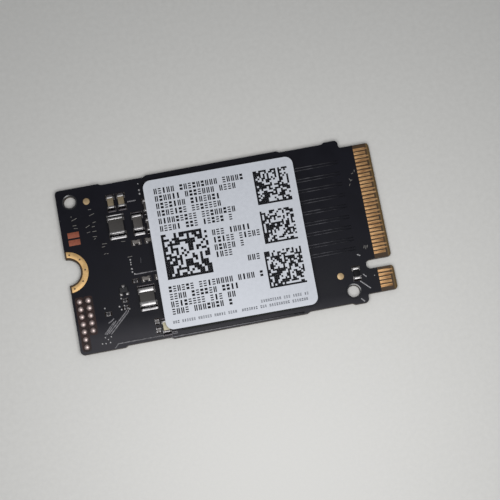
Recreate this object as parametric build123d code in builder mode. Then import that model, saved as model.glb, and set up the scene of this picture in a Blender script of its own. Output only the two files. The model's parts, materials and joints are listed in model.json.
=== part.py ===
from build123d import *
import os
from collections import namedtuple

os.makedirs("parts", exist_ok=True)

# Board, in millimetres: the screw end is at -X, the card edge at +X, the underside at Z = 0
board_length = 42.0
board_width = 22.0
laminate_thickness = 0.72
mask_thickness = 0.04
foil_thickness = 0.04
corner_radius = 0.5

# Tongue of the card edge, behind two shoulders
shoulder_step = 1.075
tongue_length = 4.0
tongue_corner_radius = 0.45
shoulder_radius = 0.3
bevel_length = 0.25

# Key notch in the tongue
key_offset = 6.125
key_width = 1.2
key_depth = 3.5

# Shallow recesses left on the long sides by the panel's break tabs
tab_inset = 9.0  # end of the board to the middle of a recess
tab_length = 6.4
tab_depth = 0.22
tab_end_angle = 30.0

# Screw notch and the gold land round it
screw_notch_radius = 1.75
land_inner_radius = 1.98
land_outer_radius = 2.74
land_setback = 0.2

# Tooling holes, one by the screw end and one by a shoulder
tooling_radius = 0.8
tooling_inset = 1.76

# Round alignment marks: distances from the screw end or card edge, and from the nearer side
fiducial_radius = 0.43
fiducial_bare_ring = 0.06
fiducial_screw_inset = 3.95
fiducial_high_side = 2.05
fiducial_card_inset = 7.08
fiducial_low_side = 3.97

# Edge contacts
contact_pitch = 0.5
contact_width = 0.35
contact_length = 1.57
contact_margin = 0.675  # tongue side to the middle of the first contact
contact_key_gap = 0.4  # key notch to the middle of the nearest contact
tail_width = 0.2
tail_gap = 0.02
mask_setback = 2.2  # card edge to the edge of the film
mask_gap = 0.03  # between the film and any metal in its windows

# Pair of bare copper pads
copper_pad_length = 1.52
copper_pad_width = 0.76
copper_pad_pitch = 1.0
copper_pad_inset = 1.55  # screw end to the middle of a pad
copper_pad_y = 4.3

# Two columns of domed test points; the columns end short of the board's side
dome_radius = 0.39
dome_height = 0.26
dome_pitch = 1.0
dome_first_y = -4.07
dome_inset = 0.9  # screw end to the first column
dome_column_pitch = 1.15
dome_side_margin = 0.6
dome_short_by = 2  # the second column has this many fewer
dome_sides = 16  # few flats on what repeats, within a hundredth of a millimetre of round
dome_sections = (0, 0.55, 0.9)  # shares of the height

# Storage package: moulded body on a substrate, soldered by a grid of balls
package_gap = 1.385  # nearest chips to the package
package_setback = 12.48  # card edge to the package
package_side_gap = 1.0
package_y = -0.14
package_standoff = 0.2
substrate_thickness = 0.25
mould_thickness = 0.85
ball_radius = 0.25
ball_pitch = 1.6
ball_margin = 1.2  # package side to the middle of the outer balls
ball_sides = 6  # hidden, so each is a plain six-sided post

# Label stuck on the package
label_overhang = 1.95  # past the package, towards the screw end and the card edge
label_side_inset = 0.05  # short of the package on the long sides
label_thickness = 0.1
label_corner_radius = 1.0
label_turn = -0.45

# Chip parts: length over the terminals, width, height, terminal band, solder toe past the end
# and the solder's climb up the terminal
Chip = namedtuple("Chip", "length width height band toe climb")
filter_chip = Chip(length=1.6, width=0.85, height=0.8, band=0.28, toe=0.38, climb=0.48)
edge_chip = Chip(length=1.6, width=0.85, height=0.8, band=0.3, toe=0.3, climb=0.48)
output_chip = Chip(length=2.0, width=1.25, height=1.0, band=0.3, toe=0.58, climb=0.6)
input_chip = Chip(length=2.2, width=2.0, height=1.0, band=0.28, toe=0.55, climb=0.6)
power_chip = Chip(length=2.4, width=2.0, height=1.0, band=0.58, toe=0.5, climb=0.6)
small_chip = Chip(length=1.0, width=0.5, height=0.5, band=0.22, toe=0.14, climb=0.3)
tiny_chip = Chip(length=0.6, width=0.3, height=0.25, band=0.15, toe=0.1, climb=0.15)
pull_up_chip = Chip(length=1.6, width=0.8, height=0.45, band=0.35, toe=0.15, climb=0.27)
terminal_wall = 0.03
terminal_chamfer = 0.04
pad_side = 0.12  # pad and solder past the chip's side
pad_heel = 0.1  # pad past the terminal band, under the chip
solder_lip = 0.05  # thickness of the solder at its toe
solder_flats = 3  # flats of the solder's hollow face

# Places of the chips' middles: inset is from the screw end, setback from the package,
# side from the nearer long side, and gap the room between neighbours
filter_inset = 7.1
filter_gap = 0.55
filter_side = 2.9
low_filter_setback = 2.04
low_filter_side = 1.65
input_inset = 7.34
input_side = 6.12
output_gap = 1.205
output_side = 6.2
edge_gap = 0.49
edge_side = 4.15
edge_row_gap = 0.38
small_row_gap = 0.45
small_high_setback = 2.27
small_high_side = 8.68
small_low_setback = 1.82
small_low_side = 8.34
power_setback = 3.79
power_side = 5.9
tiny_setback = 3.14
tiny_side = 1.38
tiny_row_gap = 0.35
tiny_pair_inset = 6.76
tiny_pair_side = 5.1
tiny_pair_gap = 0.39
tiny_lone_inset = 4.37
tiny_lone_side = 4.67
tiny_end_gap = 0.38  # in line with the low row of small capacitors
pull_up_key_gap = 1.46  # inner end of the key notch to the resistor's middle
pull_up_side = 3.975

# Three-lead transistor
transistor_width = 1.05
transistor_length = 0.72
transistor_height = 0.45
transistor_inset = 6.83
transistor_side = 7.38
lead_width = 0.26
lead_reach = 0.28
lead_thickness = 0.12
lead_spacing = 0.8
lead_pad_rim = 0.06

# Levels and reference lines
screw_end = -board_length / 2
card_edge = board_length / 2
high_side = board_width / 2
low_side = -board_width / 2
shoulder = card_edge - tongue_length
tongue_width = board_width - 2 * shoulder_step
tab_x = board_length / 2 - tab_inset
laminate_bottom = mask_thickness
laminate_top = laminate_bottom + laminate_thickness
mask_top = laminate_top + mask_thickness
foil_top = laminate_top + foil_thickness
key_y = -key_offset
mask_edge = card_edge - mask_setback
substrate_bottom = mask_top + package_standoff
mould_bottom = substrate_bottom + substrate_thickness
mould_top = mould_bottom + mould_thickness

# The row of large chips runs from the screw end to the package by the room between them
input_x = screw_end + input_inset
output_x = input_x + input_chip.width / 2 + output_gap + output_chip.width / 2
edge_x = output_x + output_chip.width / 2 + edge_gap + edge_chip.width / 2
package_start = edge_x + edge_chip.width / 2 + package_gap
package_width = card_edge - package_setback - package_start
package_length = board_width - 2 * package_side_gap
package_x = package_start + package_width / 2
label_width = package_width + 2 * label_overhang
label_length = package_length - 2 * label_side_inset

# Pitches of the chips that stand in rows
filter_pitch = filter_chip.width + filter_gap
edge_pitch = edge_chip.length + 2 * edge_chip.toe + edge_row_gap
small_pitch = small_chip.length + 2 * small_chip.toe + small_row_gap
tiny_pitch = tiny_chip.length + 2 * tiny_chip.toe + tiny_row_gap
tiny_pair_pitch = tiny_chip.width + 2 * pad_side + tiny_pair_gap

# The low row of small capacitors has a tiny resistor at its end
small_low_x = package_start - small_low_setback - small_pitch
tiny_end_reach = tiny_chip.toe + tiny_chip.length / 2
tiny_end_x = small_low_x - small_chip.length / 2 - small_chip.toe - tiny_end_gap - tiny_end_reach

# Chip families: name, size, and the X, Y and turn of each place; at turn 0 the length runs along Y
chip_families = [
    (
        "filter_capacitor",
        filter_chip,
        [
            (screw_end + filter_inset, high_side - filter_side, 0),
            (screw_end + filter_inset + filter_pitch, high_side - filter_side, 0),
            (package_start - low_filter_setback, low_side + low_filter_side, 0),
        ],
    ),
    (
        "edge_capacitor",
        edge_chip,
        [
            (edge_x, high_side - edge_side, 0),
            (edge_x, high_side - edge_side - edge_pitch, 0),
        ],
    ),
    ("output_capacitor", output_chip, [(output_x, high_side - output_side, 0)]),
    ("input_inductor", input_chip, [(input_x, high_side - input_side, 0)]),
    ("power_inductor", power_chip, [(package_start - power_setback, low_side + power_side, 0)]),
    (
        "small_capacitor",
        small_chip,
        [
            (package_start - small_high_setback - small_pitch, high_side - small_high_side, 90),
            (package_start - small_high_setback, high_side - small_high_side, 90),
            (small_low_x, low_side + small_low_side, 90),
            (package_start - small_low_setback, low_side + small_low_side, 90),
        ],
    ),
    (
        "tiny_resistor",
        tiny_chip,
        [
            (package_start - tiny_setback, low_side + tiny_side + tiny_pitch, 0),
            (package_start - tiny_setback, low_side + tiny_side, 0),
            (screw_end + tiny_pair_inset, low_side + tiny_pair_side + tiny_pair_pitch, 90),
            (screw_end + tiny_pair_inset, low_side + tiny_pair_side, 90),
            (screw_end + tiny_lone_inset, low_side + tiny_lone_side, 90),
            (tiny_end_x, low_side + small_low_side, 90),
        ],
    ),
    (
        "pull_up_resistor",
        pull_up_chip,
        [(card_edge - key_depth - pull_up_key_gap, low_side + pull_up_side, 0)],
    ),
]

# Leads of the transistor: one in the middle of the far side, two on the near side
transistor_x = screw_end + transistor_inset
transistor_y = low_side + transistor_side
lead_y = transistor_length / 2 + lead_reach / 2
lead_places = [
    (transistor_x, transistor_y + lead_y),
    (transistor_x - lead_spacing / 2, transistor_y - lead_y),
    (transistor_x + lead_spacing / 2, transistor_y - lead_y),
]

tooling_holes = [
    (screw_end + tooling_inset, high_side - tooling_inset),
    (shoulder - tooling_inset, low_side + tooling_inset),
]
fiducial_places = [
    (screw_end + fiducial_screw_inset, high_side - fiducial_high_side),
    (card_edge - fiducial_card_inset, low_side + fiducial_low_side),
]
copper_pad_places = [
    (screw_end + copper_pad_inset, copper_pad_y + copper_pad_pitch / 2),
    (screw_end + copper_pad_inset, copper_pad_y - copper_pad_pitch / 2),
]

# Test points fill each column as far as the side margin allows
dome_count = int((dome_first_y - low_side - dome_side_margin) / dome_pitch) + 1
dome_places = []
for column in range(2):
    for row in range(dome_count - column * dome_short_by):
        dome_x = screw_end + dome_inset + column * dome_column_pitch
        dome_places.append((dome_x, dome_first_y - row * dome_pitch))


def contact_rows(first_y):
    """Y of each contact as (index, y), from one side of the tongue to the other, past the key."""
    count = int(2 * first_y / contact_pitch + 0.01) + 1
    rows = [(index, first_y - index * contact_pitch) for index in range(count)]
    return [row for row in rows if abs(row[1] - key_y) > key_width / 2 + contact_key_gap]


top_rows = contact_rows(tongue_width / 2 - contact_margin)
bottom_rows = contact_rows(tongue_width / 2 - contact_margin - contact_pitch / 2)

# Every third contact of the wide row and the last three past the key are ground, with no plating tail
ground_rows = [y for index, y in top_rows if y > key_y and index % 3 == 1]
ground_rows += [y for index, y in top_rows[-3:]]
signal_rows = [y for index, y in top_rows if y not in ground_rows]


# Board outline
with BuildSketch() as board_outline:
    with Locations((screw_end, 0)):
        Rectangle(shoulder - screw_end, board_width, align=(Align.MIN, Align.CENTER))
    with Locations((card_edge, 0)):
        Rectangle(tongue_length, tongue_width, align=(Align.MAX, Align.CENTER))
    fillet(board_outline.vertices().group_by(Axis.X)[-1], tongue_corner_radius)
    fillet(board_outline.vertices().group_by(Axis.Y)[-1], corner_radius)
    fillet(board_outline.vertices().group_by(Axis.Y)[0], corner_radius)
    inner_corners = board_outline.vertices().filter_by(
        lambda corner: abs(corner.X - shoulder) < 1e-6 and abs(abs(corner.Y) - tongue_width / 2) < 1e-6
    )
    fillet(inner_corners, shoulder_radius)
    with Locations((-tab_x, high_side), (tab_x, high_side)):
        Trapezoid(
            tab_length,
            tab_depth,
            tab_end_angle,
            rotation=180,
            align=(Align.CENTER, Align.MIN),
            mode=Mode.SUBTRACT,
        )
    with Locations((-tab_x, low_side), (tab_x, low_side)):
        Trapezoid(
            tab_length,
            tab_depth,
            tab_end_angle,
            align=(Align.CENTER, Align.MIN),
            mode=Mode.SUBTRACT,
        )
    with Locations((card_edge - key_depth + key_width / 2, key_y)):
        Circle(key_width / 2, mode=Mode.SUBTRACT)
        Rectangle(key_depth, key_width, align=(Align.MIN, Align.CENTER), mode=Mode.SUBTRACT)
    key_mouth = board_outline.vertices().group_by(Axis.X)[-1].sort_by_distance((card_edge, key_y))[:2]
    fillet(key_mouth, tongue_corner_radius)
    with Locations((screw_end, 0)):
        Circle(screw_notch_radius, mode=Mode.SUBTRACT)
    with Locations(*tooling_holes):
        Circle(tooling_radius, mode=Mode.SUBTRACT)

with BuildPart() as circuit_board:
    with BuildSketch(Plane.XY.offset(laminate_bottom)):
        add(board_outline.sketch)
    extrude(amount=laminate_thickness)
    with BuildSketch(Plane.XZ):
        for face_level, inward in ((laminate_top, -1), (laminate_bottom, 1)):
            with BuildLine():
                Polyline(
                    (card_edge - bevel_length, face_level),
                    (card_edge, face_level),
                    (card_edge, face_level + inward * bevel_length),
                    close=True,
                )
            make_face()
    extrude(amount=tongue_width, both=True, mode=Mode.SUBTRACT)
circuit_board.part.label = "circuit_board"
export_step(circuit_board.part, "parts/circuit_board.step")


def pad_sketch(margin):
    """Every pad under a chip, a transistor lead or a dome, grown by a margin."""
    with BuildSketch() as pads:
        for name, chip, places in chip_families:
            inner = chip.length / 2 - chip.band - pad_heel
            outer = chip.length / 2 + chip.toe
            for x, y, turn in places:
                with Locations(Location((x, y, 0), (0, 0, turn))):
                    with Locations((0, (inner + outer) / 2), (0, -(inner + outer) / 2)):
                        Rectangle(chip.width + 2 * pad_side + 2 * margin, outer - inner + 2 * margin)
        with Locations(*lead_places):
            Rectangle(
                lead_width + 2 * lead_pad_rim + 2 * margin,
                lead_reach + 2 * lead_pad_rim + 2 * margin,
            )
        with Locations(*dome_places):
            RegularPolygon(dome_radius + margin, dome_sides)
    return pads.sketch


# Film shared by both faces: the outline short of the contacts and clear of the land
with BuildSketch() as film_outline:
    add(board_outline.sketch)
    with Locations((mask_edge, 0)):
        Rectangle(mask_setback, board_width, align=(Align.MIN, Align.CENTER), mode=Mode.SUBTRACT)
    with Locations((screw_end, 0)):
        Circle(land_outer_radius + mask_gap, mode=Mode.SUBTRACT)

with BuildPart() as solder_mask_top:
    with BuildSketch(Plane.XY.offset(laminate_top)):
        add(film_outline.sketch)
        add(pad_sketch(mask_gap), mode=Mode.SUBTRACT)
        with Locations(*fiducial_places):
            Circle(fiducial_radius + fiducial_bare_ring, mode=Mode.SUBTRACT)
        with Locations(*copper_pad_places):
            Rectangle(
                copper_pad_length + 2 * mask_gap,
                copper_pad_width + 2 * mask_gap,
                mode=Mode.SUBTRACT,
            )
        # The ball field under the package is left open as one window
        with Locations((package_x, package_y)):
            Rectangle(
                package_width - 2 * (ball_margin - ball_radius - mask_gap),
                package_length - 2 * (ball_margin - ball_radius - mask_gap),
                mode=Mode.SUBTRACT,
            )
    extrude(amount=mask_thickness)
solder_mask_top.part.label = "solder_mask_top"
export_step(solder_mask_top.part, "parts/solder_mask_top.step")

with BuildPart() as solder_mask_bottom:
    with BuildSketch(Plane.XY.offset(laminate_bottom - mask_thickness)):
        add(film_outline.sketch)
    extrude(amount=mask_thickness)
solder_mask_bottom.part.label = "solder_mask_bottom"
export_step(solder_mask_bottom.part, "parts/solder_mask_bottom.step")


# Gold contacts
contact_start = mask_edge + mask_gap
contact_end = contact_start + contact_length
tail_end = card_edge - bevel_length - tail_gap


def contact_sketch(rows, with_tails):
    """Pads along the card edge, each with a narrow tail to the bevel where asked."""
    with BuildSketch() as contacts:
        with Locations(*[(contact_start, y) for y in rows]):
            Rectangle(contact_length, contact_width, align=(Align.MIN, Align.CENTER))
        if with_tails:
            with Locations(*[(contact_end, y) for y in rows]):
                Rectangle(tail_end - contact_end, tail_width, align=(Align.MIN, Align.CENTER))
    return contacts.sketch


with BuildPart() as signal_contacts_top:
    with BuildSketch(Plane.XY.offset(laminate_top)):
        add(contact_sketch(signal_rows, with_tails=True))
    extrude(amount=foil_thickness)
signal_contacts_top.part.label = "signal_contacts_top"
export_step(signal_contacts_top.part, "parts/signal_contacts_top.step")

with BuildPart() as ground_contacts_top:
    with BuildSketch(Plane.XY.offset(laminate_top)):
        add(contact_sketch(ground_rows, with_tails=False))
    extrude(amount=foil_thickness)
ground_contacts_top.part.label = "ground_contacts_top"
export_step(ground_contacts_top.part, "parts/ground_contacts_top.step")

with BuildPart() as contacts_bottom:
    with BuildSketch(Plane.XY.offset(laminate_bottom - foil_thickness)):
        add(contact_sketch([y for index, y in bottom_rows], with_tails=True))
    extrude(amount=foil_thickness)
contacts_bottom.part.label = "contacts_bottom"
export_step(contacts_bottom.part, "parts/contacts_bottom.step")


# Gold half ring round the screw notch, one on each face
with BuildSketch() as land_outline:
    with Locations((screw_end, 0)):
        Circle(land_outer_radius)
        Circle(land_inner_radius, mode=Mode.SUBTRACT)
    with Locations((screw_end + land_setback, 0)):
        Rectangle(
            2 * land_outer_radius,
            3 * land_outer_radius,
            align=(Align.MAX, Align.CENTER),
            mode=Mode.SUBTRACT,
        )

with BuildPart() as screw_land_top:
    with BuildSketch(Plane.XY.offset(laminate_top)):
        add(land_outline.sketch)
    extrude(amount=foil_thickness)
screw_land_top.part.label = "screw_land_top"
export_step(screw_land_top.part, "parts/screw_land_top.step")

with BuildPart() as screw_land_bottom:
    with BuildSketch(Plane.XY.offset(laminate_bottom - foil_thickness)):
        add(land_outline.sketch)
    extrude(amount=foil_thickness)
screw_land_bottom.part.label = "screw_land_bottom"
export_step(screw_land_bottom.part, "parts/screw_land_bottom.step")


# Flat metal marks and pads on the top face
with BuildPart() as fiducials:
    with BuildSketch(Plane.XY.offset(laminate_top)):
        with Locations(*fiducial_places):
            Circle(fiducial_radius)
    extrude(amount=foil_thickness)
fiducials.part.label = "fiducials"
export_step(fiducials.part, "parts/fiducials.step")

with BuildPart() as copper_test_pads:
    with BuildSketch(Plane.XY.offset(laminate_top)):
        with Locations(*copper_pad_places):
            Rectangle(copper_pad_length, copper_pad_width)
    extrude(amount=foil_thickness)
copper_test_pads.part.label = "copper_test_pads"
export_step(copper_test_pads.part, "parts/copper_test_pads.step")

with BuildPart() as component_pads:
    with BuildSketch(Plane.XY.offset(laminate_top)):
        add(pad_sketch(0))
    extrude(amount=foil_thickness)
component_pads.part.label = "component_pads"
export_step(component_pads.part, "parts/component_pads.step")


# Domed solder test points: ruled lofts between polygons on one sphere
sphere_radius = (dome_radius**2 + dome_height**2) / (2 * dome_height)

with BuildPart() as dome:
    for share in dome_sections:
        depth = dome_height * (1 - share)
        with BuildSketch(Plane.XY.offset(dome_height * share)):
            RegularPolygon((2 * sphere_radius * depth - depth**2) ** 0.5, dome_sides)
    loft(ruled=True)

with BuildPart() as solder_domes:
    with Locations(*[(x, y, foil_top) for x, y in dome_places]):
        add(dome.part)
solder_domes.part.label = "solder_domes"
export_step(solder_domes.part, "parts/solder_domes.step")


# Storage package and its label
ball_columns = int((package_width - 2 * ball_margin) / ball_pitch) + 1
ball_rows = int((package_length - 2 * ball_margin) / ball_pitch) + 1

with BuildPart() as package_balls:
    with BuildSketch(Plane.XY.offset(laminate_top)):
        with Locations((package_x, package_y)):
            with GridLocations(ball_pitch, ball_pitch, ball_columns, ball_rows):
                RegularPolygon(ball_radius, ball_sides)
    extrude(amount=substrate_bottom - laminate_top)
package_balls.part.label = "package_balls"
export_step(package_balls.part, "parts/package_balls.step")

with BuildPart() as package_substrate:
    with BuildSketch(Plane.XY.offset(substrate_bottom)):
        with Locations((package_x, package_y)):
            Rectangle(package_width, package_length)
    extrude(amount=substrate_thickness)
package_substrate.part.label = "package_substrate"
export_step(package_substrate.part, "parts/package_substrate.step")

with BuildPart() as package_mould:
    with BuildSketch(Plane.XY.offset(mould_bottom)):
        with Locations((package_x, package_y)):
            Rectangle(package_width, package_length)
    extrude(amount=mould_thickness)
package_mould.part.label = "package_mould"
export_step(package_mould.part, "parts/package_mould.step")

with BuildPart() as label:
    with BuildSketch(Plane.XY.offset(mould_top)):
        with Locations(Location((package_x, package_y, 0), (0, 0, label_turn))):
            RectangleRounded(label_width, label_length, label_corner_radius)
    extrude(amount=label_thickness)
label.part.label = "label"
export_step(label.part, "parts/label.step")


def chip_body(chip):
    """Ceramic or ferrite block inside the two terminals, standing on Z = 0."""
    with BuildPart() as body:
        with BuildSketch(Plane.XY.offset(terminal_wall)):
            Rectangle(chip.width - 2 * terminal_wall, chip.length - 2 * terminal_wall)
        extrude(amount=chip.height - 2 * terminal_wall)
    return body.part


def chip_terminal(chip):
    """Metal cap over the +Y end of the block, open towards the middle."""
    with BuildPart() as terminal:
        with BuildSketch():
            with Locations((0, chip.length / 2)):
                Rectangle(chip.width, chip.band, align=(Align.CENTER, Align.MAX))
        extrude(amount=chip.height)
        end_face = terminal.faces().sort_by(Axis.Y)[-1]
        chamfer(end_face.edges(), terminal_chamfer)
        with BuildSketch(Plane.XY.offset(terminal_wall)):
            with Locations((0, chip.length / 2 - terminal_wall)):
                Rectangle(
                    chip.width - 2 * terminal_wall,
                    chip.band,
                    align=(Align.CENTER, Align.MAX),
                )
        extrude(amount=chip.height - 2 * terminal_wall, mode=Mode.SUBTRACT)
    return terminal.part


def chip_solder(chip):
    """Hollow-faced bead of solder from the pad up the +Y terminal, in a few flats."""
    heel = chip.length / 2
    rise = chip.climb - solder_lip
    hollow = []
    for flat in range(solder_flats + 1):
        share = flat / solder_flats
        hollow.append((heel + share * chip.toe, solder_lip + rise * (1 - share) ** 2))
    with BuildPart() as bead:
        with BuildSketch(Plane.YZ):
            with BuildLine():
                Polyline((heel + chip.toe, 0), (heel, 0), *hollow, close=True)
            make_face()
        extrude(amount=chip.width / 2 + pad_side, both=True)
    return bead.part


# Chip parts: a body, two terminals and two solder beads at each place
for name, chip, places in chip_families:
    seats = [Location((x, y, foil_top), (0, 0, turn)) for x, y, turn in places]
    ends = seats + [Location((x, y, foil_top), (0, 0, turn + 180)) for x, y, turn in places]
    for piece_name, piece, spots in (
        (name + "_body", chip_body(chip), seats),
        (name + "_terminals", chip_terminal(chip), ends),
        (name + "_solder", chip_solder(chip), ends),
    ):
        with BuildPart() as chip_pieces:
            with Locations(*spots):
                add(piece)
        chip_pieces.part.label = piece_name
        export_step(chip_pieces.part, f"parts/{piece_name}.step")


# Transistor
with BuildPart() as transistor_body:
    with BuildSketch(Plane.XY.offset(mask_top)):
        with Locations((transistor_x, transistor_y)):
            Rectangle(transistor_width, transistor_length)
    extrude(amount=transistor_height)
    chamfer(transistor_body.faces().sort_by(Axis.Z)[-1].edges(), terminal_chamfer)
transistor_body.part.label = "transistor_body"
export_step(transistor_body.part, "parts/transistor_body.step")

with BuildPart() as transistor_leads:
    with BuildSketch(Plane.XY.offset(foil_top)):
        with Locations(*lead_places):
            Rectangle(lead_width, lead_reach)
    extrude(amount=lead_thickness)
transistor_leads.part.label = "transistor_leads"
export_step(transistor_leads.part, "parts/transistor_leads.step")
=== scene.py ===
import json
import math
import random

import bmesh
import bpy
from mathutils import Matrix, Vector


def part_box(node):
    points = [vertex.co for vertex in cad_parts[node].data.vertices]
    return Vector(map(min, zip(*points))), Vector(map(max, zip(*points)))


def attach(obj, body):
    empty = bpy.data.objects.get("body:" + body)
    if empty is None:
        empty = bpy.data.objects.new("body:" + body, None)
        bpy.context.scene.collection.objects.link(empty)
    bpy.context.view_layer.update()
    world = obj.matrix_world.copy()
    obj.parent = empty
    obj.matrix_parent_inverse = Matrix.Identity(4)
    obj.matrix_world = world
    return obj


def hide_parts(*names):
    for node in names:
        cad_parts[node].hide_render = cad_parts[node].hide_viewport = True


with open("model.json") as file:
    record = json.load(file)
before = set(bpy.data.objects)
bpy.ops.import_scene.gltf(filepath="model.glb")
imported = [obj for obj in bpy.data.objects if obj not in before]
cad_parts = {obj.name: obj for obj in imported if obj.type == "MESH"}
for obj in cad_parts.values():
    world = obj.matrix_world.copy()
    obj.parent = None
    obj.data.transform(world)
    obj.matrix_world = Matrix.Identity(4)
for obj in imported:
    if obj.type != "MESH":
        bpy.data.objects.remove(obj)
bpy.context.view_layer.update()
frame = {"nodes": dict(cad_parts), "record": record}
nodes = frame["nodes"]
slotOf = {part["node"]: part["material_slot"] for part in frame["record"]["subparts"]}
mm = 0.001  # in metres
print("frame loaded:", len(nodes), "nodes")


def linear(red, green, blue):
    # screen colour, 0 to 255, to the linear value that a shader takes
    def one(part):
        part /= 255
        return part / 12.92 if part <= 0.04045 else ((part + 0.055) / 1.055) ** 2.4

    return one(red), one(green), one(blue), 1.0


def addNode(tree, kind, **values):
    node = tree.nodes.new(kind)
    for name, value in values.items():
        setattr(node, name, value)
    return node


def setInputs(node, **values):
    for name, value in values.items():
        node.inputs[name.replace("_", " ")].default_value = value
    return node


def newGroup(name, kind, inputs, outputs):
    group = bpy.data.node_groups.new(name, kind)
    for label, socketKind in inputs:
        group.interface.new_socket(label, in_out="INPUT", socket_type="NodeSocket" + socketKind)
    for label, socketKind in outputs:
        group.interface.new_socket(label, in_out="OUTPUT", socket_type="NodeSocket" + socketKind)
    return group, addNode(group, "NodeGroupInput"), addNode(group, "NodeGroupOutput")


def wire(tree, *runs):
    # each run goes from a node's output to a node's input
    for source, output, target, socket in runs:
        tree.links.new(source.outputs[output], target.inputs[socket])


# Shared shader effects

def makeGrain():
    # two tones mixed by fine noise, on object coordinates in millimetres
    group, given, made = newGroup(
        "surfaceGrain",
        "ShaderNodeTree",
        [("Dark", "Color"), ("Light", "Color"), ("Stretch", "Vector")],
        [("Colour", "Color"), ("Value", "Float")],
    )
    place = addNode(group, "ShaderNodeTexCoord")
    scaled = addNode(group, "ShaderNodeVectorMath", operation="MULTIPLY")
    noise = setInputs(addNode(group, "ShaderNodeTexNoise"), Scale=1 / mm, Detail=4.0, Roughness=0.6)
    spread = addNode(group, "ShaderNodeMapRange")
    setInputs(spread, From_Min=0.3, From_Max=0.7)  # where most of the noise lies
    mixed = addNode(group, "ShaderNodeMix", data_type="RGBA")
    wire(
        group,
        (place, "Object", scaled, 0),
        (given, "Stretch", scaled, 1),
        (scaled, 0, noise, "Vector"),
        (noise, "Fac", spread, "Value"),
        (spread, "Result", mixed, "Factor"),
        (given, "Dark", mixed, "A"),
        (given, "Light", mixed, "B"),
        (mixed, "Result", made, "Colour"),
        (spread, "Result", made, "Value"),
    )
    return group


def makeSpecks():
    # sparse small points, as dust: spacing in millimetres, size as a share of it
    group, given, made = newGroup(
        "dustSpecks",
        "ShaderNodeTree",
        [("Spacing", "Float"), ("Size", "Float")],
        [("Mask", "Float")],
    )
    place = addNode(group, "ShaderNodeTexCoord")
    density = addNode(group, "ShaderNodeMath", operation="DIVIDE")
    density.inputs[0].default_value = 1 / mm
    cells = addNode(group, "ShaderNodeTexVoronoi")
    near = setInputs(addNode(group, "ShaderNodeMapRange"), From_Min=0.0, To_Min=1.0, To_Max=0.0)
    chance = addNode(group, "ShaderNodeMapRange")
    setInputs(chance, From_Min=0.62, From_Max=0.8)  # most cells stay clean
    both = addNode(group, "ShaderNodeMath", operation="MULTIPLY")
    wire(
        group,
        (given, "Spacing", density, 1),
        (place, "Object", cells, "Vector"),
        (density, 0, cells, "Scale"),
        (cells, "Distance", near, "Value"),
        (given, "Size", near, "From Max"),
        (cells, "Color", chance, "Value"),
        (near, "Result", both, 0),
        (chance, "Result", both, 1),
        (both, 0, made, "Mask"),
    )
    return group


def makeWeave():
    # glass cloth: crossing bundles that show through the resin
    group, given, made = newGroup(
        "glassWeave",
        "ShaderNodeTree",
        [("Bundles", "Float")],
        [("Mask", "Float")],
    )
    place = addNode(group, "ShaderNodeTexCoord")
    both = addNode(group, "ShaderNodeMath", operation="MULTIPLY")
    for socket, axis in enumerate("XY"):
        wave = addNode(group, "ShaderNodeTexWave", wave_type="BANDS", bands_direction=axis)
        setInputs(wave, Distortion=1.5, Detail=2.0, Detail_Scale=2.0)
        wire(
            group,
            (place, "Object", wave, "Vector"),
            (given, "Bundles", wave, "Scale"),
            (wave, "Fac", both, socket),
        )
    wire(group, (both, 0, made, "Mask"))
    return group


grainGroup = makeGrain()
specksGroup = makeSpecks()
weaveGroup = makeWeave()


def turnedTo(tree, tone, colour, mask):
    # the colour so far, turned to another tone where the mask is full
    mixed = addNode(tree, "ShaderNodeMix", data_type="RGBA")
    mixed.inputs["B"].default_value = linear(*tone)
    tree.links.new(colour, mixed.inputs["A"])
    tree.links.new(mask, mixed.inputs["Factor"])
    return mixed.outputs["Result"]


def makeFinish(name, look):
    # a look: two screen tones, grain per mm (even, or along x, y and z), roughness range, bump depth in mm
    material = bpy.data.materials.new(name)
    material.use_nodes = True
    tree = material.node_tree
    shader = tree.nodes["Principled BSDF"]
    shader.inputs["Metallic"].default_value = look.get("metallic", 0.0)
    shader.inputs["Specular IOR Level"].default_value = look.get("specular", 0.5)
    stretch = look["grain"] if isinstance(look["grain"], tuple) else (look["grain"],) * 3
    grain = addNode(tree, "ShaderNodeGroup", node_tree=grainGroup)
    setInputs(grain, Dark=linear(*look["dark"]), Light=linear(*look["light"]), Stretch=stretch)
    colour, height = grain.outputs["Colour"], grain.outputs["Value"]
    if "specks" in look:
        spacing, size, tone = look["specks"]
        specks = addNode(tree, "ShaderNodeGroup", node_tree=specksGroup)
        setInputs(specks, Spacing=spacing, Size=size)
        colour = turnedTo(tree, tone, colour, specks.outputs["Mask"])
    if "weave" in look:
        bundles, tone = look["weave"]  # bundles per mm
        weave = addNode(tree, "ShaderNodeGroup", node_tree=weaveGroup)
        setInputs(weave, Bundles=bundles / mm)
        height = weave.outputs["Mask"]
        colour = turnedTo(tree, tone, colour, height)
    # the laminate's lighter bevel, and a painted sheen on the film and on its traces
    if "wear_and_sheen" in look:
        towards, start, end, tone = look["wear_and_sheen"]  # another tone along a direction, from start to end in mm
        place = addNode(tree, "ShaderNodeTexCoord")
        along = addNode(tree, "ShaderNodeVectorMath", operation="DOT_PRODUCT")
        along.inputs[1].default_value = towards
        wearAndSheen = setInputs(addNode(tree, "ShaderNodeMapRange"), From_Min=start * mm, From_Max=end * mm)
        wire(tree, (place, "Object", along, 0), (along, "Value", wearAndSheen, "Value"))
        colour = turnedTo(tree, tone, colour, wearAndSheen.outputs["Result"])
    smoothest, roughest = look["rough"]
    rough = setInputs(addNode(tree, "ShaderNodeMapRange"), To_Min=smoothest, To_Max=roughest)
    bump = setInputs(addNode(tree, "ShaderNodeBump"), Strength=1.0, Distance=look["bump"] * mm)
    tree.links.new(colour, shader.inputs["Base Color"])
    tree.links.new(height, bump.inputs["Height"])
    wire(
        tree,
        (grain, "Value", rough, "Value"),
        (rough, "Result", shader, "Roughness"),
        (bump, "Normal", shader, "Normal"),
    )
    return material


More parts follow.
